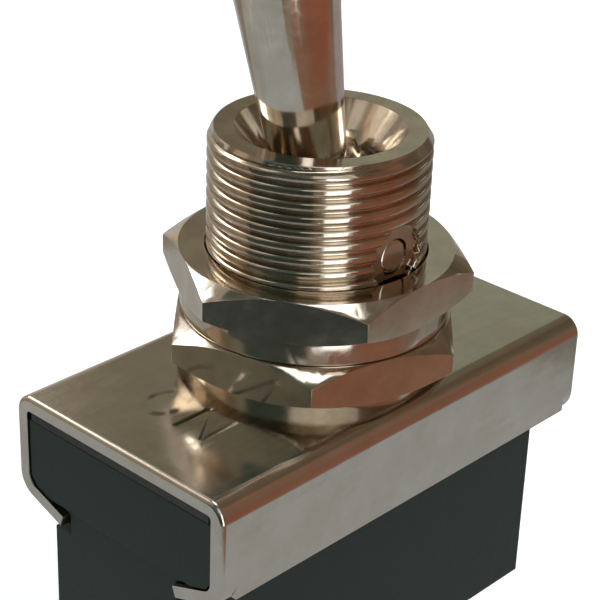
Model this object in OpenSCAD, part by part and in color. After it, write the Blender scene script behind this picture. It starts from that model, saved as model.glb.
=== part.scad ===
// Panel toggle switch: a metal bat lever in a threaded bushing, on a folded
// steel frame that grips a moulded base by four corner tabs. The lever drives
// a sprung plunger along a rocking contact inside the base.
//
// Frame of the model: millimetres, +Z up along the bushing, origin on the
// bushing's axis level with the frame's top face. The lever swings about Y.

/* [Frame] */
// Length of the folded frame
frame_len = 29.2; // [28.4:0.2:36]
// Width over the two legs
frame_wid = 15.8; // [15.4:0.2:20]
// Thickness of the sheet
sheet = 0.85; // [0.7:0.05:1.1]
// Inside radius of the two long folds
fold_in_r = 0.25; // [0.1:0.05:0.6]
// Height of the legs, from the top face to the cut edge
leg_h = 5.8; // [5.6:0.1:7.2]
// Length of each corner tab along the leg
tab_len = 1; // [0.8:0.1:3.2]
// Inside radius of the tab's fold
tab_in_r = 0.65; // [0.4:0.05:0.9]
// Angle through which each tab is folded under the base
tab_fold = 70; // [60:1:80]
// How far a tab's end stands in from the outside of its leg
tab_reach = 3.6; // [3.2:0.1:4]
// How far the tab's fold runs below the cut edge of the leg
tab_drop = 0.55; // [0.3:0.05:0.8]

/* [Bushing and nuts] */
// Outside diameter of the thread
thread_d = 12; // [11.9:0.05:13]
// Diameter at which the nuts run on the thread
pitch_d = 11.5; // [11.3:0.05:11.8]
// Height of the bushing above the frame
bushing_h = 13.6; // [13:0.1:18]
// Diameter of the countersunk mouth at the rim
mouth_d = 9.2; // [8.4:0.1:10]
// Depth of the countersunk mouth
mouth_depth = 2; // [1.4:0.1:2.4]
// Diameter of the throat below the mouth
throat_d = 6.1; // [6:0.05:6.6]
// Diameter of the collar that seats on the frame
collar_d = 14; // [13:0.1:15]
// Height of the collar
collar_h = 0.8; // [0.6:0.1:1.2]
// Diameter of the spigot through the frame
spigot_d = 10.6; // [10.4:0.1:11]
// Diameter to which the spigot is flared under the frame
flare_d = 11.8; // [11.4:0.1:12]
// Height of the flare
flare_h = 0.4; // [0.3:0.05:0.45]
// Width of the nuts across their flats
nut_af = 15; // [14:0.1:17]
// Thickness of each nut
nut_t = 2.4; // [2:0.1:2.6]
// Turn of the lower nut about the bushing
lower_nut_turn = 42.6; // [0:0.2:60]
// Turn of the upper nut about the bushing
upper_nut_turn = 1; // [0:0.2:60]
// How much narrower the washer is than the nuts across their flats
washer_inset = 0.2; // [0:0.1:1]
// Thickness of the washer
washer_t = 1.25; // [0.8:0.05:1.4]

/* [Lever] */
// Swing of the lever to each side of upright
throw = 12.2; // [9:0.1:12.6]
// Height of the pivot above the frame's top face
pivot_h = 7.9; // [7.9:0.1:8.4]
// Diameter of the pivot pin
pin_d = 2; // [1.6:0.1:2.2]
// Diameter of the spot face round each end of the pin
spot_d = 3.6; // [3:0.1:3.8]
// Depth of the spot face below the thread's crest
spot_depth = 0.5; // [0.3:0.05:0.6]
// Diameter of the ball that turns in the bushing
ball_d = 7.8; // [7.6:0.1:7.9]
// Diameter of the handle where it leaves the ball
neck_d = 3.9; // [3.4:0.1:4]
// Diameter of the handle at its thick end
bat_d = 6.4; // [6:0.1:7.4]
// Distance from the pivot to the handle's tip
bat_len = 24.5; // [20:0.5:32]
// Diameter of the tail below the ball
tail_d = 4.6; // [4.4:0.1:4.8]
// Distance from the pivot to the tail's lower end
tail_len = 9.4; // [9:0.1:9.8]
// Diameter of the spring bore in the tail
spring_bore_d = 3.2; // [3:0.05:3.4]
// Depth of metal left between the pin's bore and the spring bore
bore_web = 1.3; // [1:0.1:1.6]

/* [Plunger and spring] */
// Diameter of the plunger's round nose
nose_d = 4.6; // [4.2:0.1:4.8]
// Distance from the pivot to the tip of the nose
nose_len = 15; // [14.6:0.1:15.4]
// Length of the plunger's stem inside the tail
stem_len = 4.2; // [3.6:0.1:4.6]
// Travel of the plunger into the tail
plunger_travel = 0.8; // [0.6:0.1:1]
// Wire diameter of the plunger spring
wire_d = 0.4; // [0.3:0.05:0.45]
// Number of turns in the plunger spring
spring_turns = 4; // [3:1:5]

/* [Rocker] */
// Angle of each arm above level when the rocker stands square
arm_rise = 9; // [8:0.2:9.4]
// Tilt of the rocker to each side
rocker_tilt = 8; // [7:0.2:8.4]
// Length of each arm from the axis
arm_len = 7.6; // [7:0.1:8.4]
// Width of the rocker strip
rocker_wid = 4.8; // [4:0.1:5]
// Diameter of the rocker's trunnions
trunnion_d = 1; // [0.9:0.05:1.2]
// Distance of the contacts from the rocker's axis
contact_x = 5.8; // [5.4:0.1:6]
// Diameter of the contact buttons
contact_d = 3; // [2.4:0.1:3.4]
// Height of each contact button
contact_h = 0.6; // [0.4:0.05:0.8]

/* [Base] */
// Width of the base below the frame
body_wid = 10.8; // [10.6:0.1:11]
// Depth from the frame's top face to the underside of the base
base_depth = 18.8; // [18.6:0.2:24]
// Step from the shoulder's ends to the body's ends
end_step = 0.3; // [0:0.05:0.6]
// Wall of the base around its cavity
wall = 1.3; // [1.1:0.05:1.5]
// Thickness of the base's floor
floor_t = 3.2; // [2.8:0.1:3.6]
// Thickness of the insulating sheet under the frame
card_t = 0.5; // [0.45:0.05:0.8]

/* [Terminals] */
// Thickness of the terminal and bracket strip
strip = 0.8; // [0.6:0.05:0.9]
// Width of the terminal blades
blade_wid = 6.3; // [4.8:0.1:6.4]
// Length of the blades below the base
blade_len = 8; // [6:0.5:12]
// Diameter of the hole in each blade
blade_hole_d = 1.7; // [1.2:0.1:2.2]
// Place of the centre blade along the base
centre_blade_x = -2.6; // [-3:0.1:-2.4]
// Place of the side blade along the base
side_blade_x = 9.2; // [9:0.1:9.6]
// Distance of the centre blade's rivet from the blade
centre_rivet_off = 3; // [2.8:0.1:3.2]
// Distance of the side blade's rivet from the blade
side_rivet_off = 2.4; // [2.3:0.1:2.6]
// How far each foot runs on past its rivet
foot_reach = 2.2; // [2:0.1:2.4]
// Width of the bracket that carries the fixed contact
bracket_wid = 5; // [4:0.1:5.4]
// Gap between the bracket's leg and the end of the cavity
bracket_gap = 0.5; // [0.3:0.05:0.8]
// Diameter of the rivets' shanks
rivet_d = 2.2; // [1.8:0.1:2.4]
// Diameter of the rivets' heads
rivet_head_d = 3.8; // [3.4:0.1:4]
// Height of the rivets' heads
rivet_head_h = 0.7; // [0.5:0.05:0.9]

/* [Clearances] */
// Gap between a part and the one it is seated in
seat_gap = 0.05; // [0.02:0.01:0.08]
// Radial gap of the lever's ball and its pin bore
run_gap = 0.05; // [0.02:0.01:0.08]
// Radial gap of the rocker's trunnions in their cradle
cradle_gap = 0.06; // [0.03:0.01:0.08]
// Gap between the nose and the rocker with the lever upright
nose_gap = 0.1; // [0.08:0.01:0.2]

/* [Hidden] */
$fn = 96;
eps = 0.01;

// Frame
fold_out_r = fold_in_r + sheet;
tab_out_r = tab_in_r + sheet;
leg_out = frame_wid / 2;
leg_in = leg_out - sheet;
tab_axis_y = leg_out - tab_out_r;
tab_axis_z = -(leg_h + tab_drop - tab_out_r);
tab_flat = (tab_reach - tab_out_r * (1 - cos(tab_fold)) - sheet * sin(90 - tab_fold))
    / sin(tab_fold);

// Stack on the bushing
washer_d = nut_af - washer_inset;
lower_nut_z = collar_h;
washer_z = lower_nut_z + nut_t;
upper_nut_z = washer_z + washer_t;
free_thread_z = upper_nut_z + nut_t;
rim_cut = 0.34;
pin_half = thread_d / 2 - spot_depth;
nut_chamfer = (nut_af / cos(30) - nut_af) / 2 * tan(30);

// Lever and plunger, measured from the pivot along the lever
ball_r = ball_d / 2;
socket_r = ball_r + run_gap;
bat_slope = atan((bat_d - neck_d) / 2 / (bat_len - bat_d / 2 - ball_r));
bat_r = bat_d / 2;
spring_top = -(pin_d / 2 + bore_web);
shoulder_s = -(tail_len + plunger_travel + seat_gap);
stem_top = shoulder_s + stem_len;
spring_r = (spring_bore_d - wire_d) / 2 - seat_gap;

// Rocker: its axis stands so that the nose clears the valley with the lever upright
nose_r = nose_d / 2;
rocker_axis_z = pivot_h - nose_len + nose_r
    - (nose_r + nose_gap) / cos(arm_rise) - strip / 2 / cos(arm_rise);

// Base
card_top = -sheet - seat_gap;
base_top = card_top - card_t - seat_gap;
base_bottom = -base_depth;
floor_top = base_bottom + floor_t;
shoulder_len = frame_len - 0.2;
shoulder_y = leg_in - seat_gap;
card_y = leg_in - fold_in_r;
body_len = shoulder_len - 2 * end_step;
body_y = body_wid / 2;
cavity_y = body_y - wall;
cavity_x = body_len / 2 - wall;
slot_gap = 0.1;

// Terminals
foot_top = floor_top + strip;
bracket_top = foot_top + strip;
cradle_y = rocker_wid / 2 + 0.3;
cradle_left = -1.1;
cradle_right = 3.1;
fixed_contact_top = rocker_axis_z
    - (strip / 2 + contact_h) * cos(arm_rise - rocker_tilt)
    + (contact_x - contact_d / 2) * sin(arm_rise - rocker_tilt) - seat_gap;
bracket_leg_top = fixed_contact_top - contact_h;
ledge_top = rocker_axis_z - strip / 2 * cos(arm_rise - rocker_tilt)
    + contact_x * sin(arm_rise - rocker_tilt) - seat_gap;
blade_x = [centre_blade_x, side_blade_x];
rivet_x = [centre_blade_x + centre_rivet_off, side_blade_x - side_rivet_off];

// A sheet-metal arc in the plane of the frame's section, swept about (y, z)
module fold_arc(y, z, r_in, r_out, from, sweep) {
    translate([y, z])
        intersection() {
            difference() {
                circle(r = r_out);
                circle(r = r_in);
            }
            rotate(from)
                polygon([[0, 0], [3 * r_out, 0],
                         [3 * r_out * cos(sweep / 2) / pow(cos(sweep / 2), 2),
                          3 * r_out * tan(sweep / 2)],
                         [3 * r_out * cos(sweep), 3 * r_out * sin(sweep)]]);
        }
}

// Stands a YZ section up and draws it out along X, centred
module along_x(len) {
    rotate([90, 0, 90])
        linear_extrude(height = len, center = true)
            children();
}

module both_sides() {
    children();
    mirror([1, 0]) children();
}

// Top plate, its two folds and the legs down to height h
module frame_section(h) {
    translate([-leg_out + fold_out_r, -sheet])
        square([frame_wid - 2 * fold_out_r, sheet]);
    both_sides() {
        fold_arc(leg_out - fold_out_r, -fold_out_r, fold_in_r, fold_out_r, 0, 90);
        translate([leg_in, -h])
            square([sheet, h - fold_out_r]);
    }
}

// The folded part of a corner tab, on the side +Y
module tab_section() {
    fold_arc(tab_axis_y, tab_axis_z, tab_in_r, tab_out_r, -tab_fold, tab_fold);
    translate([tab_axis_y, tab_axis_z])
        rotate(-tab_fold)
            translate([tab_in_r, -tab_flat])
                square([sheet, tab_flat]);
}

module frame() {
    color([0.62, 0.58, 0.52])
        difference() {
            union() {
                along_x(frame_len) frame_section(-tab_axis_z);
                along_x(frame_len - 2 * tab_len) frame_section(leg_h);
                for (end = [-1, 1])
                    translate([end * (frame_len - tab_len) / 2, 0, 0])
                        along_x(tab_len) both_sides() tab_section();
            }
            translate([0, 0, -sheet - 1])
                cylinder(r = spigot_d / 2 + seat_gap, h = sheet + 2);
        }
}

// The bushing's outside: flare, spigot, collar, nut run and free thread
module bushing_outside() {
    polygon([
        [0, -sheet - flare_h], [flare_d / 2 - flare_h, -sheet - flare_h],
        [flare_d / 2, -sheet - seat_gap], [spigot_d / 2, -sheet - seat_gap],
        [spigot_d / 2, 0], [collar_d / 2, 0], [collar_d / 2, collar_h],
        [pitch_d / 2, collar_h], [pitch_d / 2, free_thread_z],
        [thread_d / 2, free_thread_z], [thread_d / 2, bushing_h - rim_cut * 1.5],
        [thread_d / 2 - rim_cut, bushing_h], [0, bushing_h]
    ]);
}

module bushing() {
    skirt_r = spigot_d / 2 - 0.65;
    color([0.55, 0.5, 0.42])
        difference() {
            rotate_extrude() bushing_outside();
            // Countersunk mouth, then the throat down to the ball's socket
            translate([0, 0, bushing_h - mouth_depth])
                cylinder(r1 = throat_d / 2, r2 = mouth_d / 2, h = mouth_depth);
            translate([0, 0, bushing_h - eps])
                cylinder(r = mouth_d / 2, h = 1);
            translate([0, 0, pivot_h])
                cylinder(r = throat_d / 2, h = bushing_h - pivot_h - mouth_depth + eps);
            translate([0, 0, pivot_h]) sphere(r = socket_r);
            // The ball goes in from below, and the tail swings in the flared skirt
            translate([0, 0, collar_h])
                cylinder(r = socket_r, h = pivot_h - collar_h);
            translate([0, 0, -sheet - flare_h - eps])
                cylinder(r = skirt_r, h = sheet + flare_h + collar_h + 2 * eps);
            translate([0, 0, collar_h])
                cylinder(r1 = skirt_r, r2 = socket_r, h = 3);
            // Cross bore for the pin, with a spot face at each end
            translate([0, 0, pivot_h]) rotate([90, 0, 0]) {
                cylinder(r = pin_d / 2 + eps, h = thread_d + 2, center = true);
                for (side = [-1, 1])
                    translate([0, 0, side * (pin_half + 1)])
                        cylinder(r = spot_d / 2, h = 2, center = true);
            }
        }
}

// A hexagon nut with both faces chamfered, standing on z = 0
module nut() {
    rim_r = nut_af / 2;
    corner_r = rim_r / cos(30);
    bore_r = pitch_d / 2 + seat_gap;
    difference() {
        intersection() {
            cylinder(r = corner_r, h = nut_t, $fn = 6);
            rotate_extrude()
                polygon([[0, 0], [rim_r, 0], [corner_r + 0.2, nut_chamfer + 0.2 * tan(30)],
                         [corner_r + 0.2, nut_t - nut_chamfer - 0.2 * tan(30)],
                         [rim_r, nut_t], [0, nut_t]]);
        }
        translate([0, 0, -1]) cylinder(r = bore_r, h = nut_t + 2);
        translate([0, 0, -eps]) cylinder(r1 = thread_d / 2 + 0.1, r2 = bore_r - eps, h = 0.35);
        translate([0, 0, nut_t - 0.35 + eps])
            cylinder(r1 = bore_r - eps, r2 = thread_d / 2 + 0.1, h = 0.35);
    }
}

module lower_nut() {
    color([0.6, 0.55, 0.48])
        translate([0, 0, lower_nut_z]) rotate(lower_nut_turn) nut();
}

module upper_nut() {
    color([0.6, 0.55, 0.48])
        translate([0, 0, upper_nut_z]) rotate(upper_nut_turn) nut();
}

module washer() {
    color([0.66, 0.6, 0.54])
        translate([0, 0, washer_z])
            difference() {
                cylinder(r = washer_d / 2, h = washer_t);
                translate([0, 0, -1]) cylinder(r = thread_d / 2 + 0.1, h = washer_t + 2);
            }
}

module pivot_pin() {
    color([0.5, 0.47, 0.42])
        translate([0, 0, pivot_h])
            rotate([90, 0, 0])
                cylinder(r = pin_d / 2, h = 2 * pin_half, center = true);
}

// Puts what is drawn along the lever from its pivot into the stored pose
module on_lever() {
    translate([0, 0, pivot_h]) rotate([0, -throw, 0]) children();
}

module lever() {
    tip_s = bat_len - bat_r;
    touch_r = bat_r * cos(bat_slope);
    touch_s = tip_s - bat_r * sin(bat_slope);
    neck_s = sqrt(ball_r * ball_r - neck_d * neck_d / 4);
    color([0.72, 0.68, 0.62])
        on_lever()
            difference() {
                union() {
                    sphere(r = ball_r);
                    translate([0, 0, neck_s - 0.3])
                        cylinder(r1 = neck_d / 2, r2 = touch_r, h = touch_s - neck_s + 0.3);
                    translate([0, 0, tip_s]) sphere(r = bat_r);
                    translate([0, 0, -tail_len]) cylinder(r = tail_d / 2, h = tail_len);
                }
                rotate([90, 0, 0])
                    cylinder(r = pin_d / 2 + run_gap, h = ball_d + 2, center = true);
                translate([0, 0, -tail_len - 1])
                    cylinder(r = spring_bore_d / 2, h = tail_len + 1 + spring_top);
            }
}

// Round-wire helix standing on z = 0 along +Z, built from short straight runs
module helix(r, wire, turns, height) {
    steps = 12;
    count = turns * steps;
    rise = (height - wire) / count;
    for (i = [0 : count - 1]) {
        a = i * 360 / steps;
        b = a + 360 / steps;
        from = [r * cos(a), r * sin(a), wire / 2 + i * rise];
        to = [r * cos(b), r * sin(b), wire / 2 + (i + 1) * rise];
        hull() {
            translate(from) rotate([90, 0, a]) cylinder(d = wire, h = eps, $fn = 8);
            translate(to) rotate([90, 0, b]) cylinder(d = wire, h = eps, $fn = 8);
        }
    }
}

module plunger_spring() {
    color([0.75, 0.75, 0.72])
        on_lever()
            translate([0, 0, stem_top + seat_gap])
                helix(spring_r, wire_d, spring_turns, spring_top - stem_top - 2 * seat_gap);
}

module plunger() {
    color([0.55, 0.28, 0.16])
        on_lever() {
            translate([0, 0, -nose_len + nose_r]) sphere(r = nose_r);
            translate([0, 0, -nose_len + nose_r])
                cylinder(r = nose_r, h = nose_len - nose_r + shoulder_s);
            translate([0, 0, shoulder_s - eps])
                cylinder(r = spring_bore_d / 2 - run_gap, h = stem_len + eps);
        }
}

// Puts what is drawn about the rocker's axis, standing square, into the stored pose
module on_rocker() {
    translate([0, 0, rocker_axis_z]) rotate([0, rocker_tilt, 0]) children();
}

module rocker() {
    color([0.72, 0.42, 0.24])
        on_rocker()
            difference() {
                union() {
                    for (side = [-1, 1])
                        rotate([0, -side * arm_rise, 0])
                            translate([side > 0 ? -0.05 : -arm_len, -rocker_wid / 2, -strip / 2])
                                cube([arm_len + 0.05, rocker_wid, strip]);
                    for (side = [-1, 1])
                        translate([0, side * (rocker_wid / 2 + 0.55), 0])
                            rotate([90, 0, 0])
                                cylinder(r = trunnion_d / 2, h = 1.7, center = true);
                }
                rotate([0, -arm_rise, 0])
                    translate([contact_x, 0, -strip])
                        cylinder(r = contact_d / 4 + eps, h = 2 * strip);
            }
}

module moving_contact() {
    color([0.85, 0.85, 0.86])
        on_rocker()
            rotate([0, -arm_rise, 0])
                translate([contact_x, 0, -strip / 2 - contact_h]) {
                    cylinder(r = contact_d / 2, h = contact_h);
                    cylinder(r = contact_d / 4, h = contact_h + strip);
                }
}

module insulating_card() {
    color([0.35, 0.22, 0.14])
        translate([0, 0, card_top - card_t])
            difference() {
                translate([-shoulder_len / 2, -card_y, 0])
                    cube([shoulder_len, 2 * card_y, card_t]);
                translate([0, 0, -1]) cylinder(r = flare_d / 2 + 0.2, h = card_t + 2);
            }
}

// Half of the base's section: shoulder, sloping underside that the tabs grip, body
module base_section() {
    under_y = tab_axis_y + (tab_in_r - seat_gap) * cos(tab_fold);
    under_z = tab_axis_z - (tab_in_r - seat_gap) * sin(tab_fold);
    slope = tan(90 - tab_fold);
    polygon([
        [0, base_top], [shoulder_y, base_top], [shoulder_y, tab_axis_z],
        [under_y, under_z], [body_y, under_z - (under_y - body_y) * slope],
        [body_y, base_bottom], [0, base_bottom]
    ]);
}

// Room for a folded tab where it runs under the shoulder into the body
module tab_pocket() {
    end_y = leg_out - tab_reach - 0.15;
    top_z = tab_axis_z - (tab_in_r - seat_gap) * sin(tab_fold)
        - (tab_axis_y - end_y) * tan(90 - tab_fold)
        - (tab_in_r - seat_gap) * cos(tab_fold) * tan(90 - tab_fold);
    edge_z = top_z + (leg_out - end_y) * tan(90 - tab_fold);
    polygon([
        [end_y, top_z], [leg_out, edge_z],
        [leg_out, top_z - sheet - 0.35], [end_y, top_z - sheet - 0.35]
    ]);
}

module base() {
    color([0.17, 0.19, 0.19])
        difference() {
            union() {
                intersection() {
                    along_x(shoulder_len) both_sides() base_section();
                    translate([-shoulder_len / 2, -frame_wid, -leg_h])
                        cube([shoulder_len, 2 * frame_wid, leg_h]);
                }
                along_x(body_len) both_sides() base_section();
            }
            for (end = [-1, 1])
                translate([end * (frame_len / 2 - tab_len / 2), 0, 0])
                    along_x(tab_len + 0.3) both_sides() tab_pocket();
            // Cavity, shallower on the open side, where a ledge stops the idle arm
            translate([-cavity_x, -cavity_y, ledge_top])
                cube([2 * cavity_x, 2 * cavity_y, base_depth]);
            translate([-contact_x, -cavity_y, floor_top])
                cube([cavity_x + contact_x, 2 * cavity_y, base_depth]);
            for (x = blade_x)
                translate([x - slot_gap, -blade_wid / 2 - slot_gap, base_bottom - 1])
                    cube([strip + 2 * slot_gap, blade_wid + 2 * slot_gap, floor_t + 2]);
            for (x = rivet_x) {
                translate([x, 0, base_bottom - 1])
                    cylinder(r = rivet_d / 2 + eps, h = floor_t + 2);
                translate([x, 0, base_bottom - 1])
                    cylinder(r = rivet_head_d / 2 + 0.3, h = 1 + rivet_head_h + 0.5);
            }
        }
}

// A blade that runs down through the floor from a foot that reaches to foot_end
module terminal(x, foot_end) {
    left = min(x, foot_end);
    difference() {
        union() {
            translate([x, -blade_wid / 2, base_bottom - blade_len])
                cube([strip, blade_wid, blade_len + floor_t + strip]);
            translate([left, -blade_wid / 2, floor_top])
                cube([abs(foot_end - x) + (foot_end < x ? strip : 0), blade_wid, strip]);
        }
        translate([x - 1, 0, base_bottom - blade_len / 2])
            rotate([0, 90, 0]) cylinder(r = blade_hole_d / 2, h = strip + 2);
        for (side = [-1, 1])
            translate([x - 1, side * blade_wid / 2, base_bottom - blade_len])
                rotate([45, 0, 0])
                    translate([0, -0.8, -0.8]) cube([strip + 2, 1.6, 1.6]);
        for (hole = rivet_x)
            translate([hole, 0, floor_top - 1])
                cylinder(r = rivet_d / 2 + eps, h = strip + 2);
    }
}

module centre_terminal() {
    color([0.78, 0.62, 0.3]) terminal(blade_x[0], rivet_x[0] + foot_reach);
}

module side_terminal() {
    color([0.78, 0.62, 0.3]) terminal(blade_x[1], rivet_x[1] - foot_reach);
}

// U-shaped bracket whose two ears carry the rocker's trunnions
module cradle() {
    ear_top = rocker_axis_z + 0.35;
    color([0.72, 0.42, 0.24])
        difference() {
            union() {
                translate([cradle_left, -cradle_y - strip, foot_top])
                    cube([cradle_right - cradle_left, 2 * (cradle_y + strip), strip]);
                for (side = [-1, 1])
                    translate([0, side * (cradle_y + strip / 2), 0])
                        rotate([90, 0, 0])
                            linear_extrude(height = strip, center = true)
                                polygon([
                                    [cradle_left, foot_top], [cradle_right, foot_top],
                                    [cradle_right - 0.4, foot_top + 2], [1.3, ear_top],
                                    [-1.3, ear_top], [cradle_left, foot_top + 2]
                                ]);
            }
            // Half-round seats, open at the top
            translate([0, 0, rocker_axis_z])
                rotate([90, 0, 0])
                    cylinder(r = trunnion_d / 2 + cradle_gap, h = 4 * cradle_y, center = true);
            translate([-trunnion_d / 2 - cradle_gap, -2 * cradle_y, rocker_axis_z])
                cube([trunnion_d + 2 * cradle_gap, 4 * cradle_y, cradle_y]);
            translate([rivet_x[0], 0, foot_top - 1])
                cylinder(r = rivet_d / 2 + eps, h = strip + 2);
        }
}

// Bracket that carries the fixed contact up from the side terminal's rivet
module contact_bracket() {
    far_x = cavity_x - bracket_gap;
    near_x = rivet_x[1] - foot_reach;
    color([0.72, 0.42, 0.24])
        difference() {
            union() {
                translate([near_x, -bracket_wid / 2, foot_top])
                    cube([far_x - near_x, bracket_wid, strip]);
                translate([far_x - strip, -bracket_wid / 2, foot_top])
                    cube([strip, bracket_wid, bracket_leg_top - foot_top]);
                translate([contact_x - contact_d / 2, -bracket_wid / 2, bracket_leg_top - strip])
                    cube([far_x - contact_x + contact_d / 2, bracket_wid, strip]);
            }
            translate([rivet_x[1], 0, foot_top - 1])
                cylinder(r = rivet_d / 2 + eps, h = strip + 2);
            translate([contact_x, 0, bracket_leg_top - strip - 1])
                cylinder(r = contact_d / 4 + eps, h = strip + 2);
        }
}

module fixed_contact() {
    color([0.85, 0.85, 0.86])
        translate([contact_x, 0, bracket_leg_top]) {
            cylinder(r = contact_d / 2, h = contact_h);
            translate([0, 0, -strip]) cylinder(r = contact_d / 4, h = strip + contact_h / 2);
        }
}

// A rivet through floor, foot and bracket, headed at both ends
module rivet(x) {
    color([0.8, 0.68, 0.38])
        translate([x, 0, 0]) {
            translate([0, 0, base_bottom + 0.5])
                cylinder(r = rivet_d / 2, h = bracket_top - base_bottom - 0.5 + rivet_head_h / 2);
            translate([0, 0, base_bottom + 0.5])
                cylinder(r = rivet_head_d / 2, h = rivet_head_h);
            translate([0, 0, bracket_top])
                cylinder(r = rivet_head_d / 2, h = rivet_head_h);
        }
}

module centre_rivet() { rivet(rivet_x[0]); }

module side_rivet() { rivet(rivet_x[1]); }

frame();
bushing();
lower_nut();
washer();
upper_nut();
pivot_pin();
lever();
plunger_spring();
plunger();
rocker();
moving_contact();
insulating_card();
base();
centre_terminal();
cradle();
centre_rivet();
side_terminal();
contact_bracket();
side_rivet();
fixed_contact();
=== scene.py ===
"""Panel toggle switch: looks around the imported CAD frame. Metres, +Z out of the panel."""

import math

import bmesh
import bpy
from mathutils import Matrix, Vector


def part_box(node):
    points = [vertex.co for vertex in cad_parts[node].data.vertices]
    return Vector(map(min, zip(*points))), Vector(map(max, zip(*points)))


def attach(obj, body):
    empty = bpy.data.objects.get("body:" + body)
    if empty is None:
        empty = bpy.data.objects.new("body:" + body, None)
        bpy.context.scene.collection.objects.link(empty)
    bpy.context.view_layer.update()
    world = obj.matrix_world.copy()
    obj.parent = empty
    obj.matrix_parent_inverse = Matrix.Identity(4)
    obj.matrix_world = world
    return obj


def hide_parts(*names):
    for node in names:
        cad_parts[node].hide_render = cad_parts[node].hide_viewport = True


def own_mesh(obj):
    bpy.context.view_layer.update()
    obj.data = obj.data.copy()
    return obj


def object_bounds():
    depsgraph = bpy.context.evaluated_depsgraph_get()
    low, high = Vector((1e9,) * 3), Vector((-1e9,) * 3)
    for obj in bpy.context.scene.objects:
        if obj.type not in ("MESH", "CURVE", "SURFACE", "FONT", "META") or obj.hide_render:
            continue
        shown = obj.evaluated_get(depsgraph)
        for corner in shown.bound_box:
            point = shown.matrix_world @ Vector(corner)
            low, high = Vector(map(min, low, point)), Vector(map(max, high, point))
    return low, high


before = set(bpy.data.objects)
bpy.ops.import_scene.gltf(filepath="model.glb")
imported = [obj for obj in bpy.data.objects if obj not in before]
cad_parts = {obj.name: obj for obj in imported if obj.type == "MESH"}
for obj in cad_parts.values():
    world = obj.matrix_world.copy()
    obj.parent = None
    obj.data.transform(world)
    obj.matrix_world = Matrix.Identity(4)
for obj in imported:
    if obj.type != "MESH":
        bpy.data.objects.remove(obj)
cad_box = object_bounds()


# ---------------------------------------------------------------- folded frame
# The frame is one strip of steel sheet, bent down along two sides, with four
# corner tabs lanced and folded under the base. It is bright nickel plated, with
# the word ON struck into its top beside the end the lever leans to.

MM = 0.001
SAME_PLACE = 1e-7            # vertices closer than this are one


def plating_wear_group():
    """Clouding, rolling lines and fine rub marks of nickel plate."""
    g = bpy.data.node_groups.new("plating_wear", "ShaderNodeTree")
    io = g.interface
    for name, default in (("Cloud size", 420.0), ("Line size", 2600.0), ("Stretch", 0.06)):
        s = io.new_socket(name, in_out="INPUT", socket_type="NodeSocketFloat")
        s.default_value = default
    for name in ("Cloud", "Lines", "Marks"):
        io.new_socket(name, in_out="OUTPUT", socket_type="NodeSocketFloat")
    n, link = g.nodes, g.links.new
    ins, outs = n.new("NodeGroupInput"), n.new("NodeGroupOutput")
    where = n.new("ShaderNodeTexCoord")
    cloud = n.new("ShaderNodeTexNoise")
    cloud.inputs["Detail"].default_value = 3.0
    cloud.inputs["Roughness"].default_value = 0.55
    link(where.outputs["Object"], cloud.inputs["Vector"])
    link(ins.outputs["Cloud size"], cloud.inputs["Scale"])
    stretch = n.new("ShaderNodeCombineXYZ")
    stretch.inputs["Y"].default_value = 1.0
    stretch.inputs["Z"].default_value = 1.0
    link(ins.outputs["Stretch"], stretch.inputs["X"])
    along = n.new("ShaderNodeVectorMath")
    along.operation = "MULTIPLY"
    link(where.outputs["Object"], along.inputs[0])
    link(stretch.outputs["Vector"], along.inputs[1])
    lines = n.new("ShaderNodeTexNoise")
    lines.inputs["Detail"].default_value = 2.0
    link(along.outputs["Vector"], lines.inputs["Vector"])
    link(ins.outputs["Line size"], lines.inputs["Scale"])
    marks = n.new("ShaderNodeTexVoronoi")
    marks.feature = "DISTANCE_TO_EDGE"
    marks.inputs["Scale"].default_value = 900.0
    warp = n.new("ShaderNodeTexNoise")
    warp.inputs["Scale"].default_value = 700.0
    link(where.outputs["Object"], warp.inputs["Vector"])
    shift = n.new("ShaderNodeVectorMath")
    shift.operation = "MULTIPLY_ADD"
    shift.inputs[1].default_value = (0.004, 0.004, 0.004)
    link(warp.outputs["Color"], shift.inputs[0])
    link(where.outputs["Object"], shift.inputs[2])
    link(shift.outputs["Vector"], marks.inputs["Vector"])
    thin = n.new("ShaderNodeMapRange")
    thin.inputs["From Min"].default_value = 0.0
    thin.inputs["From Max"].default_value = 0.03
    thin.inputs["To Min"].default_value = 1.0
    thin.inputs["To Max"].default_value = 0.0
    link(marks.outputs["Distance"], thin.inputs["Value"])
    link(cloud.outputs["Fac"], outs.inputs["Cloud"])
    link(lines.outputs["Fac"], outs.inputs["Lines"])
    link(thin.outputs["Result"], outs.inputs["Marks"])
    return g


PLATING_WEAR = plating_wear_group()


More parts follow.
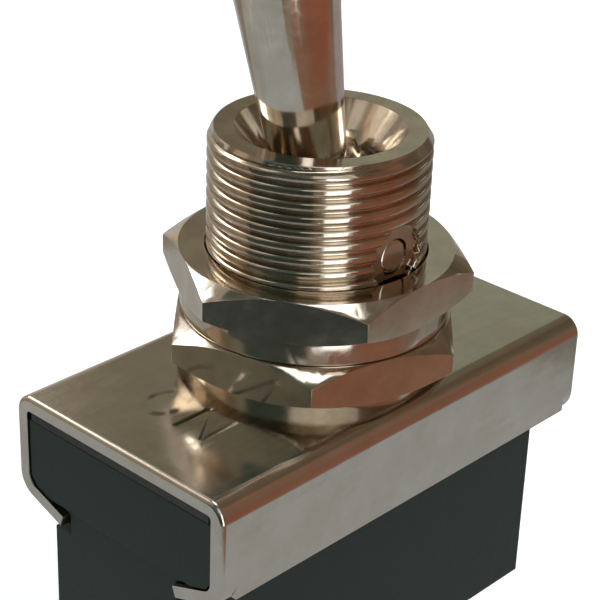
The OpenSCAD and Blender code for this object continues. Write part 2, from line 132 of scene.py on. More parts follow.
def plated_metal(name, dull, bright, rough, stretch=0.06, line_size=2600.0, dent=0.03):
    """A plated or rolled metal: two tones in clouds, roughness and bump from its lines."""
    m = bpy.data.materials.new(name)
    m.use_nodes = True
    n, link = m.node_tree.nodes, m.node_tree.links.new
    skin = n["Principled BSDF"]
    skin.inputs["Metallic"].default_value = 1.0
    wear = n.new("ShaderNodeGroup")
    wear.node_tree = PLATING_WEAR
    wear.inputs["Stretch"].default_value = stretch
    wear.inputs["Line size"].default_value = line_size
    tone = n.new("ShaderNodeMapRange")
    tone.inputs["From Min"].default_value = 0.36
    tone.inputs["From Max"].default_value = 0.64
    link(wear.outputs["Cloud"], tone.inputs["Value"])
    mix = n.new("ShaderNodeMix")
    mix.data_type = "RGBA"
    mix.inputs["A"].default_value = (*dull, 1.0)
    mix.inputs["B"].default_value = (*bright, 1.0)
    link(tone.outputs["Result"], mix.inputs["Factor"])
    link(mix.outputs["Result"], skin.inputs["Base Color"])
    gloss = n.new("ShaderNodeMapRange")
    gloss.inputs["From Min"].default_value = 0.3
    gloss.inputs["From Max"].default_value = 0.75
    gloss.inputs["To Min"].default_value = rough * 0.75
    gloss.inputs["To Max"].default_value = rough * 1.35
    link(wear.outputs["Lines"], gloss.inputs["Value"])
    rubbed = n.new("ShaderNodeMath")
    rubbed.operation = "MULTIPLY_ADD"
    rubbed.inputs[1].default_value = 0.06
    link(wear.outputs["Marks"], rubbed.inputs[0])
    link(gloss.outputs["Result"], rubbed.inputs[2])
    link(rubbed.outputs["Value"], skin.inputs["Roughness"])
    uneven = n.new("ShaderNodeMath")
    uneven.operation = "MULTIPLY_ADD"
    uneven.inputs[1].default_value = 0.12
    link(wear.outputs["Lines"], uneven.inputs[0])
    link(wear.outputs["Cloud"], uneven.inputs[2])
    bump = n.new("ShaderNodeBump")
    bump.inputs["Strength"].default_value = 0.5
    bump.inputs["Distance"].default_value = dent * MM
    link(uneven.outputs["Value"], bump.inputs["Height"])
    link(bump.outputs["Normal"], skin.inputs["Normal"])
    return m


def dress(node, material):
    """Gives a CAD node its finish."""
    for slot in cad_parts[node].material_slots:
        slot.material = material


def cad_copy(node):
    """A merged copy of a CAD node's mesh, its flat faces whole again."""
    bm = bmesh.new()
    bm.from_mesh(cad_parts[node].data)
    bmesh.ops.remove_doubles(bm, verts=bm.verts, dist=SAME_PLACE)
    bmesh.ops.dissolve_limit(
        bm, angle_limit=math.radians(0.4), use_dissolve_boundaries=False,
        verts=bm.verts, edges=bm.edges)
    return bm


def ease_edges(bm, width, sharper_than=28.0):
    """Breaks every edge that turns by more than so many degrees, by a small round."""
    sharp = [e for e in bm.edges
             if len(e.link_faces) == 2 and e.calc_face_angle(0.0) > math.radians(sharper_than)]
    bmesh.ops.bevel(
        bm, geom=sharp, offset=width, offset_type="OFFSET", segments=2, profile=0.5,
        affect="EDGES", clamp_overlap=True, material=-1)


def finished(bm, name, material, body, smooth=35.0):
    """Turns a bmesh into a piece of the switch, with its finish, on its body."""
    mesh = bpy.data.meshes.new(name)
    bm.to_mesh(mesh)
    bm.free()
    for poly in mesh.polygons:
        poly.use_smooth = True
    mesh.set_sharp_from_angle(angle=math.radians(smooth))
    mesh.materials.append(material)
    obj = bpy.data.objects.new(name, mesh)
    bpy.context.scene.collection.objects.link(obj)
    flat = obj.modifiers.new("flat_faces", "WEIGHTED_NORMAL")
    flat.keep_sharp = True
    flat.weight = 100
    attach(obj, body)
    return obj


# The boolean gives the same points and faces each run, but in another order, and the merging of
# faces after it depends on the order. So they are sorted by place first. The weights of x, y and z
# share no simple ratio, so that two places seldom get the same number.
SORT_BY = Vector((1.0, 0.6180339887, 0.3141592653))


def place(element):
    """A number for where a vertex, an edge or a face is, to sort by."""
    verts = [element] if isinstance(element, bmesh.types.BMVert) else element.verts
    return math.fsum(v.co.dot(SORT_BY) for v in verts) / len(verts)


def cut_from(bm, cutter, crossing=False):
    """Takes the cutter's solid out of bm. Both are closed; the cutter's strokes may cross."""
    bmesh.ops.triangulate(bm, faces=[f for f in bm.faces if len(f.verts) > 4])
    work, tool = bpy.data.meshes.new("work"), bpy.data.meshes.new("tool")
    bm.to_mesh(work)
    cutter.to_mesh(tool)
    bm.free()
    cutter.free()
    w, t = bpy.data.objects.new("work", work), bpy.data.objects.new("tool", tool)
    for o in (w, t):
        bpy.context.scene.collection.objects.link(o)
    cut = w.modifiers.new("cut", "BOOLEAN")
    cut.operation, cut.solver, cut.object = "DIFFERENCE", "EXACT", t
    cut.use_self = crossing
    dg = bpy.context.evaluated_depsgraph_get()
    result = bmesh.new()
    result.from_mesh(w.evaluated_get(dg).to_mesh())
    for o in (w, t):
        bpy.data.objects.remove(o)
    for m in (work, tool):
        bpy.data.meshes.remove(m)
    for elements in (result.verts, result.edges, result.faces):
        elements.sort(key=place)
    bmesh.ops.dissolve_limit(
        result, angle_limit=math.radians(0.2), use_dissolve_boundaries=False,
        verts=result.verts, edges=result.edges)
    return result


WORD_X = -9.65 * MM          # middle of the struck word along the frame
LETTER_SHIFT = 1.5 * MM      # from the frame's middle to the middle of each letter
LETTER_H = 2.7 * MM
LETTER_W = 2.0 * MM
STROKE = 0.46 * MM           # width of a stroke at the plate's top
STRUCK = 0.145 * MM          # its depth
PROUD = 0.4                  # how far the tool stands out of the plate, in its depths
O_STEPS = 40


def groove(bm, start, end):
    """One straight V-shaped stroke of the stamping tool, standing in the plate's top."""
    run = end - start
    across_x = Matrix.Rotation(math.radians(90), 4, "Y") @ Matrix.Rotation(math.radians(90), 4, "Z")
    made = bmesh.ops.create_circle(bm, cap_ends=True, segments=3, radius=1.0, matrix=across_x)
    verts = made["verts"]
    for v in verts:
        if abs(v.co.y) > 0.1:
            v.co = Vector((0, math.copysign(STROKE / 2, v.co.y), PROUD * STRUCK))
        else:
            v.co = Vector((0, 0, -STRUCK))
    out = bmesh.ops.extrude_face_region(bm, geom=[verts[0].link_faces[0]])
    far = [v for v in out["geom"] if isinstance(v, bmesh.types.BMVert)]
    bmesh.ops.translate(bm, verts=far, vec=(run.length, 0, 0))
    turn = Matrix.Translation(start) @ run.to_track_quat("X", "Z").to_matrix().to_4x4()
    bmesh.ops.transform(bm, matrix=turn, verts=verts + far)


letter_n = bmesh.new()
for corners in (((-1, 1), (1, 1)), ((1, 1), (-1, -1)), ((-1, -1), (1, -1))):
    start, end = (
        Vector((WORD_X + x * LETTER_H / 2, -LETTER_SHIFT + y * LETTER_W / 2, 0)) for x, y in corners)
    groove(letter_n, start, end)
bmesh.ops.recalc_face_normals(letter_n, faces=letter_n.faces)

letter_o = bmesh.new()
section = bmesh.ops.create_circle(letter_o, cap_ends=False, segments=3, radius=1.0)["verts"]
for v, (out, up) in zip(section, ((-1, PROUD), (1, PROUD), (0, -1))):
    v.co = Vector((LETTER_W / 2 + out * STROKE / 2, 0, up * STRUCK))
bmesh.ops.spin(
    letter_o, geom=letter_o.edges[:], cent=(0, 0, 0), axis=(0, 0, 1),
    angle=math.tau, steps=O_STEPS, use_merge=True)
bmesh.ops.scale(letter_o, vec=(LETTER_H / LETTER_W, 1, 1), verts=letter_o.verts)
bmesh.ops.translate(letter_o, vec=(WORD_X, LETTER_SHIFT, 0), verts=letter_o.verts)
bmesh.ops.remove_doubles(letter_o, verts=letter_o.verts, dist=SAME_PLACE)
bmesh.ops.recalc_face_normals(letter_o, faces=letter_o.faces)

ROLLED = 0.26 * MM           # how far the punch rolls over the outer edges
INSIDE = Vector((0, 0, -3 * MM))     # a point between the two legs
ON_OUTSIDE = 0.2 * MM        # an outer skin faces away from that point by at least this
AT_END = 0.01 * MM

nickel = plated_metal("bright_nickel_plate", (0.545, 0.495, 0.42), (0.585, 0.545, 0.48), 0.15)
sheet = cad_copy("frame")
end_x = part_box("frame")[1].x
rolled = []
for e in sheet.edges:
    middle = (e.verts[0].co + e.verts[1].co) / 2
    skins = [f.normal for f in e.link_faces if abs(f.normal.x) < 0.1]
    if len(skins) == 1 and abs(middle.x) > end_x - AT_END:
        if skins[0].dot(middle - INSIDE) > ON_OUTSIDE:
            rolled.append(e)
bmesh.ops.bevel(
    sheet, geom=rolled, offset=ROLLED, offset_type="OFFSET", segments=5, profile=0.5,
    affect="EDGES", clamp_overlap=False, material=-1)
ease_edges(sheet, 0.05 * MM, 40.0)
sheet = cut_from(sheet, letter_o)
sheet = cut_from(sheet, letter_n, crossing=True)
sheet = finished(sheet, "folded_frame", nickel, "switch_body")
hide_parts("frame")


# ------------------------------------------------------------- insulating card
# A strip of grey-black fish paper between the frame and the base. Only its
# edges show, in the frame's open ends.

def pressed_fibre(name, dark, light, rough):
    """Pressed fibre: short matted strands, dull, slightly uneven."""
    m = bpy.data.materials.new(name)
    m.use_nodes = True
    n, link = m.node_tree.nodes, m.node_tree.links.new
    skin = n["Principled BSDF"]
    skin.inputs["Roughness"].default_value = rough
    where = n.new("ShaderNodeTexCoord")
    strands = n.new("ShaderNodeTexNoise")
    strands.inputs["Scale"].default_value = 2400.0
    strands.inputs["Detail"].default_value = 4.0
    strands.inputs["Distortion"].default_value = 1.5
    link(where.outputs["Object"], strands.inputs["Vector"])
    mix = n.new("ShaderNodeMix")
    mix.data_type = "RGBA"
    mix.inputs["A"].default_value = (*dark, 1.0)
    mix.inputs["B"].default_value = (*light, 1.0)
    link(strands.outputs["Fac"], mix.inputs["Factor"])
    link(mix.outputs["Result"], skin.inputs["Base Color"])
    bump = n.new("ShaderNodeBump")
    bump.inputs["Distance"].default_value = 0.02 * MM
    link(strands.outputs["Fac"], bump.inputs["Height"])
    link(bump.outputs["Normal"], skin.inputs["Normal"])
    return m


fish_paper = pressed_fibre("fish_paper", (0.012, 0.013, 0.012), (0.035, 0.036, 0.032), 0.75)
dress("insulating_card", fish_paper)


# --------------------------------------------------------------------- bushing
# Turned from bar, its thread cut last, so that the groove runs out through the
# rim's chamfer at the top and under the nuts at the bottom. Nickel plated.

PITCH = 0.77 * MM
THREAD_R = 6.0 * MM
ROOT = 0.03 * MM             # half the groove's width at its bottom
GROOVE_DEPTH = 0.28 * MM
FLANK = math.radians(30)     # lean of the groove's two sides
CREST_ROUND = 0.125 * MM     # where the round of the crest starts, from its sharp corner
SKIN = 0.014 * MM            # how far the tool's corners stand off the bar
TOOL_BACK = 0.15 * MM        # how far the tool reaches past its corners
THREAD_FROM = 6.0 * MM       # below the upper nut's top
THREAD_TO = 14.4 * MM        # past the rim
STEPS_PER_TURN = 96

crest = THREAD_R + SKIN
bottom = crest - GROOVE_DEPTH
back = crest + TOOL_BACK
mouth = ROOT + GROOVE_DEPTH * math.tan(FLANK)
lip = mouth + CREST_ROUND * 1.05
tool = bmesh.new()
corners = [tool.verts.new((r, 0, z)) for r, z in (
    (bottom, -ROOT), (crest, -mouth), (crest, -lip), (back, -lip),
    (back, lip), (crest, lip), (crest, mouth), (bottom, ROOT))]
tool.faces.new(corners)
bmesh.ops.bevel(
    tool, geom=[corners[1], corners[6]], offset=CREST_ROUND, offset_type="OFFSET", segments=5,
    profile=0.5, affect="VERTICES", clamp_overlap=False, material=-1)
section = tool.faces[:][0]
bmesh.ops.translate(tool, verts=tool.verts, vec=(0, 0, THREAD_FROM))
turns = (THREAD_TO - THREAD_FROM) / PITCH
bmesh.ops.spin(
    tool, geom=[section] + section.edges[:], cent=(0, 0, 0), axis=(0, 0, 1),
    dvec=(0, 0, PITCH / STEPS_PER_TURN), angle=turns * math.tau,
    steps=round(turns * STEPS_PER_TURN))
bmesh.ops.recalc_face_normals(tool, faces=tool.faces)
bar = cut_from(cad_copy("bushing"), tool)

bushing_nickel = plated_metal(
    "bright_nickel_thread", (0.46, 0.39, 0.30), (0.60, 0.52, 0.42), 0.13, stretch=1.0,
    line_size=1500.0, dent=0.01)
bushing = finished(bar, "threaded_bushing", bushing_nickel, "switch_body", smooth=30.0)
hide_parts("bushing")


# ------------------------------------------------------------------- pivot pin
# A plain steel pin across the bushing and the lever's ball. Its ends are peened
# round in the two spot faces, and nickel plated.

PEENED = 0.28 * MM

pin = cad_copy("pivot_pin")
ease_edges(pin, PEENED)
pin = finished(pin, "peened_pin", nickel, "switch_body")
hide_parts("pivot_pin")


# ------------------------------------------------------------- nuts and washer
# Two hexagon nuts, chamfered on both faces, with a flat ring between them, all
# nickel plated. Their edges are broken as tumbling leaves them.

turned_nickel = plated_metal(
    "bright_nickel_turned", (0.52, 0.45, 0.37), (0.64, 0.57, 0.48), 0.11, stretch=1.0,
    line_size=900.0, dent=0.012)
for part, ease in (("lower_nut", 0.07), ("upper_nut", 0.07), ("washer", 0.1)):
    piece = cad_copy(part)
    ease_edges(piece, ease * MM, 24.0)
    piece = finished(piece, part + "_eased", turned_nickel, "switch_body", smooth=30.0)
    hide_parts(part)


# ----------------------------------------------------------------------- lever
# The bat is turned with its ball and hollow tail in one piece, polished and
# nickel plated.

lever_nickel = plated_metal(
    "bright_nickel_lever", (0.55, 0.49, 0.41), (0.66, 0.60, 0.52), 0.1, stretch=1.0,
    line_size=1200.0, dent=0.01)
dress("lever", lever_nickel)


# --------------------------------------------------------- plunger and spring
# A fibre nose pushed out of the lever's tail by a small coil spring, which
# closes up towards its seat in the tail as the nose goes in.

dress("plunger", pressed_fibre("fibre_plunger", (0.20, 0.09, 0.045), (0.33, 0.16, 0.08), 0.55))

spring_wire = plated_metal(
    "spring_wire", (0.42, 0.42, 0.41), (0.58, 0.58, 0.57), 0.28, stretch=1.0, dent=0.004)
coil = finished(cad_copy("plunger_spring"), "coil_spring", spring_wire, "lever")
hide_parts("plunger_spring")

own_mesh(coil)


# --------------------------------------------------------- rocker and contacts
# A bronze strip bent to a shallow V, with a silver button riveted through its
# closed-side arm, and the matching button on its bracket.

bronze = plated_metal("rolled_bronze", (0.50, 0.27, 0.15), (0.70, 0.42, 0.25), 0.26, stretch=0.1)
silver = plated_metal("contact_silver", (0.70, 0.70, 0.70), (0.86, 0.86, 0.85), 0.22, dent=0.006)
for part in ("rocker", "cradle", "contact_bracket"):
    dress(part, bronze)
for part in ("moving_contact", "fixed_contact"):
    dress(part, silver)


# ------------------------------------------------------------------------ base
# Compression moulded phenolic, very dark green-grey, satin, with the fine
# mottling of its filler and slightly rubbed edges.

def moulded_phenolic():
    """Satin phenolic: a fine mottle in colour and gloss, and the grit of its filler."""
    m = bpy.data.materials.new("moulded_phenolic")
    m.use_nodes = True
    n, link = m.node_tree.nodes, m.node_tree.links.new
    skin = n["Principled BSDF"]
    skin.inputs["Specular IOR Level"].default_value = 0.32
    where = n.new("ShaderNodeTexCoord")
    mottle = n.new("ShaderNodeTexNoise")
    mottle.inputs["Scale"].default_value = 900.0
    mottle.inputs["Detail"].default_value = 6.0
    mottle.inputs["Roughness"].default_value = 0.62
    link(where.outputs["Object"], mottle.inputs["Vector"])
    mix = n.new("ShaderNodeMix")
    mix.data_type = "RGBA"
    mix.inputs["A"].default_value = (0.005, 0.013, 0.009, 1.0)
    mix.inputs["B"].default_value = (0.012, 0.025, 0.019, 1.0)
    link(mottle.outputs["Fac"], mix.inputs["Factor"])
    link(mix.outputs["Result"], skin.inputs["Base Color"])
    sheen = n.new("ShaderNodeMapRange")
    sheen.inputs["To Min"].default_value = 0.36
    sheen.inputs["To Max"].default_value = 0.58
    link(mottle.outputs["Fac"], sheen.inputs["Value"])
    link(sheen.outputs["Result"], skin.inputs["Roughness"])
    grit = n.new("ShaderNodeTexNoise")
    grit.inputs["Scale"].default_value = 4200.0
    grit.inputs["Detail"].default_value = 2.0
    link(where.outputs["Object"], grit.inputs["Vector"])
    bump = n.new("ShaderNodeBump")
    bump.inputs["Strength"].default_value = 0.5
    bump.inputs["Distance"].default_value = 0.02 * MM
    link(grit.outputs["Fac"], bump.inputs["Height"])
    link(bump.outputs["Normal"], skin.inputs["Normal"])
    return m


moulding = cad_copy("base")
ease_edges(moulding, 0.09 * MM)
moulding = finished(moulding, "moulded_base", moulded_phenolic(), "switch_body")
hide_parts("base")


# -------------------------------------------------------- terminals and rivets
# Two push-on blades blanked from brass strip. Each has a foot on the base's
# floor, held by a brass rivet headed over in a recess of the underside.

brass = plated_metal("rolled_brass", (0.62, 0.47, 0.22), (0.80, 0.64, 0.34), 0.24, stretch=0.12)
for part in ("centre_terminal", "side_terminal", "centre_rivet", "side_rivet"):
    dress(part, brass)


# ---------------------------------------------------------------------- studio
# A plain white floor under the terminals, four soft boxes, and a room of plain
# coloured cards that only the bright metal sees.

FLOOR_Z = cad_box[0].z
FLOOR_SIZE = 3.0             # half its width
FLOOR_DROP = 0.0002          # the floor lies this far below the blades' tips
ROOM = 0.9                   # radius of the room
TABLE_RISE = 0.0006          # the wooden boards lie this far above the other cards
RING_STEPS = 24


def glow_card(name, bm, tones, patch):
    """A card that only bright metal sees. Its two tones lie in soft patches.

    The patches are smaller as patch grows."""
    mesh = bpy.data.meshes.new(name)
    bm.to_mesh(mesh)
    bm.free()
    m = bpy.data.materials.new(name)
    m.use_nodes = True
    n, link = m.node_tree.nodes, m.node_tree.links.new
    n.remove(n["Principled BSDF"])
    where, cloud = n.new("ShaderNodeTexCoord"), n.new("ShaderNodeTexNoise")
    cloud.inputs["Scale"].default_value = patch
    cloud.inputs["Detail"].default_value = 1.0
    link(where.outputs["Object"], cloud.inputs["Vector"])
    spread = n.new("ShaderNodeMapRange")
    spread.inputs["From Min"].default_value = 0.38
    spread.inputs["From Max"].default_value = 0.62
    link(cloud.outputs["Fac"], spread.inputs["Value"])
    mix = n.new("ShaderNodeMix")
    mix.data_type = "RGBA"
    mix.inputs["A"].default_value = (*tones[0], 1.0)
    mix.inputs["B"].default_value = (*tones[1], 1.0)
    link(spread.outputs["Result"], mix.inputs["Factor"])
    glow = n.new("ShaderNodeEmission")
    link(mix.outputs["Result"], glow.inputs["Color"])
    link(glow.outputs["Emission"], n["Material Output"].inputs["Surface"])
    mesh.materials.append(m)
    card = bpy.data.objects.new(name, mesh)
    bpy.context.scene.collection.objects.link(card)
    card.visible_camera = False
    card.visible_diffuse = False
    card.visible_shadow = False
    card.visible_transmission = False


def ring_card(name, azimuths, inner, outer, tones, patch=3.0):
    """A card spun about the switch between two (radius, height) ends.

    Azimuths are from +X towards +Y."""
    bm = bmesh.new()
    rim = bm.edges.new([bm.verts.new((r, 0, z)) for r, z in (inner, outer)])
    start, sweep = math.radians(azimuths[0]), math.radians(azimuths[1] - azimuths[0])
    bmesh.ops.rotate(bm, verts=bm.verts, matrix=Matrix.Rotation(start, 3, "Z"), cent=(0, 0, 0))
    bmesh.ops.spin(
        bm, geom=rim.verts[:] + [rim], cent=(0, 0, 0), axis=(0, 0, 1), angle=sweep,
        steps=RING_STEPS)
    glow_card(name, bm, tones, patch)


def wall(name, azimuths, elevations, tones, patch=3.0):
    """An upright stretch of the room round the switch, between two elevations in degrees."""
    low, high = (ROOM * math.tan(math.radians(e)) for e in elevations)
    ring_card(name, azimuths, (ROOM, low), (ROOM, high), tones, patch)


def table(name, azimuths, reach, tones, height=0.0, patch=9.0):
    """A sector of the table's top, between two distances from the switch."""
    z = FLOOR_Z + height
    ring_card(name, azimuths, (reach[0], z), (reach[1], z), tones, patch)


def white_paper():
    """White paper that shows a little brighter to the camera, and keeps its shadows."""
    m = bpy.data.materials.new("white_paper")
    m.use_nodes = True
    n, link = m.node_tree.nodes, m.node_tree.links.new
    skin = n["Principled BSDF"]
    skin.inputs["Base Color"].default_value = (0.9, 0.9, 0.9, 1.0)
    skin.inputs["Roughness"].default_value = 0.9
    rays = n.new("ShaderNodeLightPath")
    lift = n.new("ShaderNodeMath")
    lift.operation = "MULTIPLY"
    lift.inputs[1].default_value = 0.35
    link(rays.outputs["Is Camera Ray"], lift.inputs[0])
    glow = n.new("ShaderNodeEmission")
    link(lift.outputs["Value"], glow.inputs["Strength"])
    both = n.new("ShaderNodeAddShader")
    link(skin.outputs["BSDF"], both.inputs[0])
    link(glow.outputs["Emission"], both.inputs[1])
    link(both.outputs["Shader"], n["Material Output"].inputs["Surface"])
    return m


def white_world():
    """A dim even sky, pure white where the camera, metal or glass looks at it."""
    world = bpy.data.worlds.new("studio")
    world.use_nodes = True
    n, link = world.node_tree.nodes, world.node_tree.links.new
    sky = n["Background"]
    sky.inputs["Color"].default_value = (0.9, 0.92, 0.95, 1.0)
    sky.inputs["Strength"].default_value = 0.35
    white = n.new("ShaderNodeBackground")
    white.inputs["Color"].default_value = (1.0, 1.0, 1.0, 1.0)
    rays = n.new("ShaderNodeLightPath")
    mirrored = n.new("ShaderNodeMath")
    mirrored.operation = "ADD"
    link(rays.outputs["Is Glossy Ray"], mirrored.inputs[0])
    link(rays.outputs["Is Transmission Ray"], mirrored.inputs[1])
    seen = n.new("ShaderNodeMath")
    seen.operation = "ADD"
    seen.use_clamp = True
    link(rays.outputs["Is Camera Ray"], seen.inputs[0])
    link(mirrored.outputs["Value"], seen.inputs[1])
    pick = n.new("ShaderNodeMixShader")
    link(seen.outputs["Value"], pick.inputs["Fac"])
    link(sky.outputs["Background"], pick.inputs[1])
    link(white.outputs["Background"], pick.inputs[2])
    link(pick.outputs["Shader"], n["World Output"].inputs["Surface"])
    return world


floor_mesh = bpy.data.meshes.new("floor")
bm = bmesh.new()
bmesh.ops.create_grid(bm, x_segments=1, y_segments=1, size=FLOOR_SIZE)
bmesh.ops.translate(bm, vec=(0, 0, FLOOR_Z - FLOOR_DROP), verts=bm.verts)
bm.to_mesh(floor_mesh)
bm.free()
floor_mesh.materials.append(white_paper())
floor = bpy.data.objects.new("floor", floor_mesh)
bpy.context.scene.collection.objects.link(floor)
bpy.context.scene.world = white_world()


def soft_box(name, place, look_at, size, power, in_metal=True):
    """A soft lamp; some are kept out of the bright metal's reflections."""
    lamp = bpy.data.lights.new(name, "AREA")
    lamp.shape = "RECTANGLE"
    lamp.size, lamp.size_y = size
    lamp.energy = power
    o = bpy.data.objects.new(name, lamp)
    o.location = place
    o.rotation_mode = "QUATERNION"
    o.rotation_quaternion = (Vector(look_at) - Vector(place)).to_track_quat("-Z", "Y")
    o.visible_glossy = in_metal
    bpy.context.scene.collection.objects.link(o)


MIDDLE = (0.0, 0.0, 0.004)   # of the switch
soft_box("soft_box_front", (-0.10, -0.42, 0.42), MIDDLE, (0.22, 0.16), 1.0, in_metal=False)
soft_box("soft_box_left", (-0.50, 0.10, 0.36), MIDDLE, (0.16, 0.22), 0.9, in_metal=False)
soft_box("soft_box_behind", (-0.07, 0.46, 0.36), MIDDLE, (0.20, 0.18), 0.6)
soft_box("soft_box_above", (0.05, 0.05, 0.60), MIDDLE, (0.30, 0.30), 0.8)

SLATE = ((0.07, 0.11, 0.105), (0.11, 0.16, 0.155))
WHITE = ((1.1, 1.1, 1.08), (1.35, 1.35, 1.35))
BRIGHT = ((2.0, 2.1, 2.25), (2.8, 2.95, 3.1))
UMBER = ((0.12, 0.105, 0.075), (0.19, 0.155, 0.11))
PAPER = ((0.385, 0.41, 0.41), (0.44, 0.465, 0.47))

# behind the switch, towards +X
wall("room_back", (0, 52), (33, 57), ((0.15, 0.13, 0.08), (0.21, 0.18, 0.11)))
wall("room_back_right", (-38, 0), (33, 57), ((0.14, 0.10, 0.065), (0.19, 0.135, 0.09)))
wall("room_back_mid", (16, 42), (16, 33), ((0.30, 0.31, 0.245), (0.41, 0.42, 0.34)))
wall("room_back_right_mid", (-38, 16), (-2, 33), UMBER)
wall("room_corner", (42, 52), (16, 33), ((0.21, 0.19, 0.14), (0.27, 0.24, 0.175)))
wall("room_back_low", (16, 38), (-2, 16), ((0.34, 0.33, 0.30), (0.75, 0.76, 0.75)), patch=5.0)
wall("room_corner_low", (38, 52), (-2, 16), ((0.04, 0.04, 0.033), (0.10, 0.09, 0.07)))
ring_card(
    "room_lit_corner", (-17, -3), (0.87, 0.23), (0.87, 0.40),
    ((0.58, 0.54, 0.46), (0.90, 0.85, 0.75)), patch=8.0)

# the window side, towards +Y
wall("room_window", (77, 92), (24, 50), WHITE)
wall("room_window_high", (92, 128), (36, 50), WHITE)
wall("room_window_head", (77, 128), (50, 57), ((0.36, 0.32, 0.26), (0.58, 0.52, 0.43)))
wall("room_window_low", (92, 126), (24, 36), ((0.78, 0.69, 0.55), (0.98, 0.89, 0.75)))
wall("room_by_window", (52, 77), (-2, 57), ((0.38, 0.33, 0.27), (0.64, 0.56, 0.46)))
wall("room_under_window", (77, 96), (-2, 24), ((0.35, 0.31, 0.25), (0.52, 0.47, 0.39)))
wall("room_under_window_left", (96, 112), (-2, 24), ((0.58, 0.53, 0.46), (0.85, 0.80, 0.72)))
wall("room_left_low", (112, 140), (-2, 24), ((0.22, 0.17, 0.12), (0.48, 0.40, 0.32)), patch=6.0)
wall("room_curtain", (126, 138), (24, 44), ((0.62, 0.46, 0.33), (0.86, 0.68, 0.50)))
wall("room_curtain_edge", (138, 147), (-2, 44), ((0.28, 0.23, 0.17), (0.40, 0.33, 0.25)))

# the near side, towards -X and -Y
wall("room_left_dark", (147, 163), (-2, 44), ((0.23, 0.235, 0.19), (0.34, 0.33, 0.27)))
wall("room_slate", (163, 204), (-2, 44), SLATE)
wall("room_front", (204, 228), (-2, 25), ((0.09, 0.08, 0.06), (0.24, 0.22, 0.18)), patch=7.0)
wall("room_front_tall", (228, 256), (-2, 25), BRIGHT)
wall("room_front_red", (256, 266), (-2, 25), ((0.13, 0.08, 0.055), (0.22, 0.15, 0.11)))
wall("room_front_light", (216, 262), (25, 42), ((0.65, 0.64, 0.60), (1.15, 1.15, 1.12)))
wall("room_high_left", (128, 166), (44, 53), ((0.80, 0.74, 0.66), (1.0, 0.95, 0.88)))
wall("room_high_front", (166, 214), (44, 57), ((0.11, 0.12, 0.105), (0.17, 0.17, 0.15)))
wall("room_high_light", (214, 262), (42, 53), ((0.70, 0.66, 0.60), (1.0, 0.98, 0.95)))
wall("room_right", (266, 302), (-2, 57), ((0.10, 0.075, 0.05), (0.20, 0.14, 0.095)))
wall("room_door", (302, 322), (-2, 57), ((0.22, 0.125, 0.08), (0.29, 0.165, 0.11)))

# above: a frieze and a ceiling of two tones
CEILING_Z = 1.5
wall("room_upper", (0, 360), (57, 62), ((0.11, 0.11, 0.09), (0.19, 0.175, 0.145)))
for name, azimuths, tones in (
        ("room_ceiling", (215, 450), ((0.14, 0.125, 0.095), (0.21, 0.185, 0.145))),
        ("room_ceiling_left", (90, 215), ((0.075, 0.085, 0.07), (0.13, 0.14, 0.115)))):
    ring_card(name, azimuths, (0.0, CEILING_Z), (ROOM, CEILING_Z), tones)

# the table round the paper that the switch stands on
PAPER_END = 0.060
table("table_paper", (0, 360), (0.0, 0.050), PAPER)
table("table_paper_far", (-60, 218), (0.050, PAPER_END), PAPER)
table("table_right_near", (-35, 30), (PAPER_END, 0.105), ((0.19, 0.185, 0.16), (0.27, 0.265, 0.235)))
table("table_right", (-35, 30), (0.105, ROOM), ((0.32, 0.28, 0.28), (0.40, 0.36, 0.37)))
table("table_behind", (30, 76), (PAPER_END, ROOM), ((0.44, 0.46, 0.47), (0.66, 0.71, 0.75)))
table("table_left_pale", (76, 150), (PAPER_END, 0.074), ((0.43, 0.43, 0.40), (0.56, 0.57, 0.545)))
table("table_left_brown", (76, 112), (0.074, ROOM), ((0.28, 0.25, 0.20), (0.46, 0.43, 0.38)))
table("table_left", (112, 150), (0.074, ROOM), ((0.25, 0.18, 0.12), (0.46, 0.40, 0.33)), patch=25.0)
table("table_slate", (150, 218), (PAPER_END, ROOM), ((0.036, 0.048, 0.043), (0.062, 0.074, 0.067)))
table("table_front", (218, 300), (0.050, ROOM), ((0.16, 0.14, 0.11), (0.27, 0.22, 0.17)))
table("table_front_right", (300, 325), (PAPER_END, ROOM), ((0.26, 0.24, 0.21), (0.36, 0.35, 0.32)))
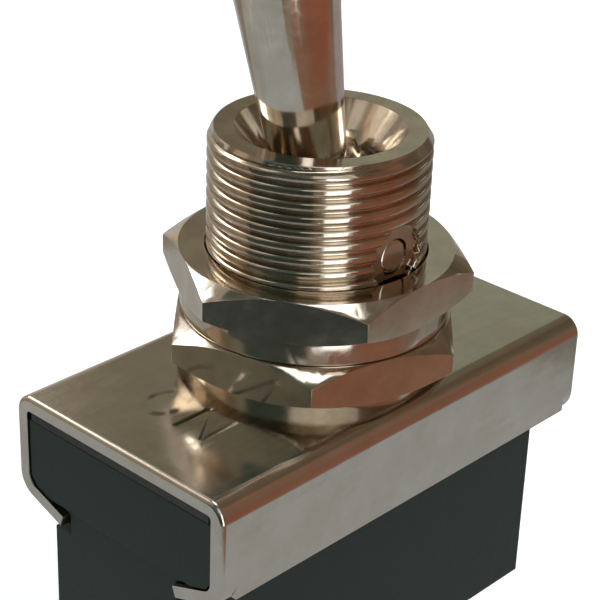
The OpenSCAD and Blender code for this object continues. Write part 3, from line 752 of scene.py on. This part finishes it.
for name, (left, right), (near, far), tones in (
        ("table_wood", (-0.034, 0.030), (-0.066, -0.0395), ((0.27, 0.15, 0.10), (0.34, 0.14, 0.085))),
        ("table_wood_shade", (0.030, ROOM), (-0.066, -0.0445),
         ((0.23, 0.165, 0.125), (0.29, 0.185, 0.14))),
        ("table_wood_far", (-0.034, ROOM), (-ROOM, -0.066),
         ((0.285, 0.12, 0.078), (0.35, 0.118, 0.068)))):
    board = bmesh.new()
    bmesh.ops.create_grid(board, x_segments=1, y_segments=1, size=0.5)
    bmesh.ops.scale(board, vec=(right - left, far - near, 1), verts=board.verts)
    bmesh.ops.translate(
        board, vec=((left + right) / 2, (near + far) / 2, FLOOR_Z + TABLE_RISE), verts=board.verts)
    glow_card(name, board, tones, 25.0)
table("table_glare", (230, 253), (0.069, ROOM), BRIGHT, height=0.001)
ring_card(
    "white_strip", (222, 250), (PAPER_END, FLOOR_Z + 0.0050), (PAPER_END, FLOOR_Z + 0.0064), BRIGHT)


# ---------------------------------------------------------------------- camera
# It looks down on the switch from its near left, a little rolled, and close, so
# that the lever's end and the blades lie outside the picture.

AZIMUTH, ELEVATION, ROLL = (math.radians(a) for a in (-47.27, 26.83, 2.05))
TARGET = Vector((4.248, 4.977, 0.0)) * MM
DISTANCE = 107.95 * MM
FOCAL_LENGTH, SENSOR = 109.73, 36.0

back = Vector((
    math.sin(AZIMUTH) * math.cos(ELEVATION),
    -math.cos(AZIMUTH) * math.cos(ELEVATION),
    math.sin(ELEVATION)))
level = Vector((math.cos(AZIMUTH), math.sin(AZIMUTH), 0.0))
upright = back.cross(level)
right = level * math.cos(ROLL) + upright * math.sin(ROLL)
up = upright * math.cos(ROLL) - level * math.sin(ROLL)
lens = bpy.data.cameras.new("camera")
lens.sensor_width = SENSOR
lens.lens = FOCAL_LENGTH
lens.clip_start, lens.clip_end = 0.001, 20.0
camera = bpy.data.objects.new("camera", lens)
camera.matrix_world = Matrix.Translation(TARGET + back * DISTANCE) @ Matrix(
    (right, up, back)).transposed().to_4x4()
bpy.context.scene.collection.objects.link(camera)
bpy.context.scene.camera = camera
bpy.context.scene.view_settings.view_transform = "Standard"
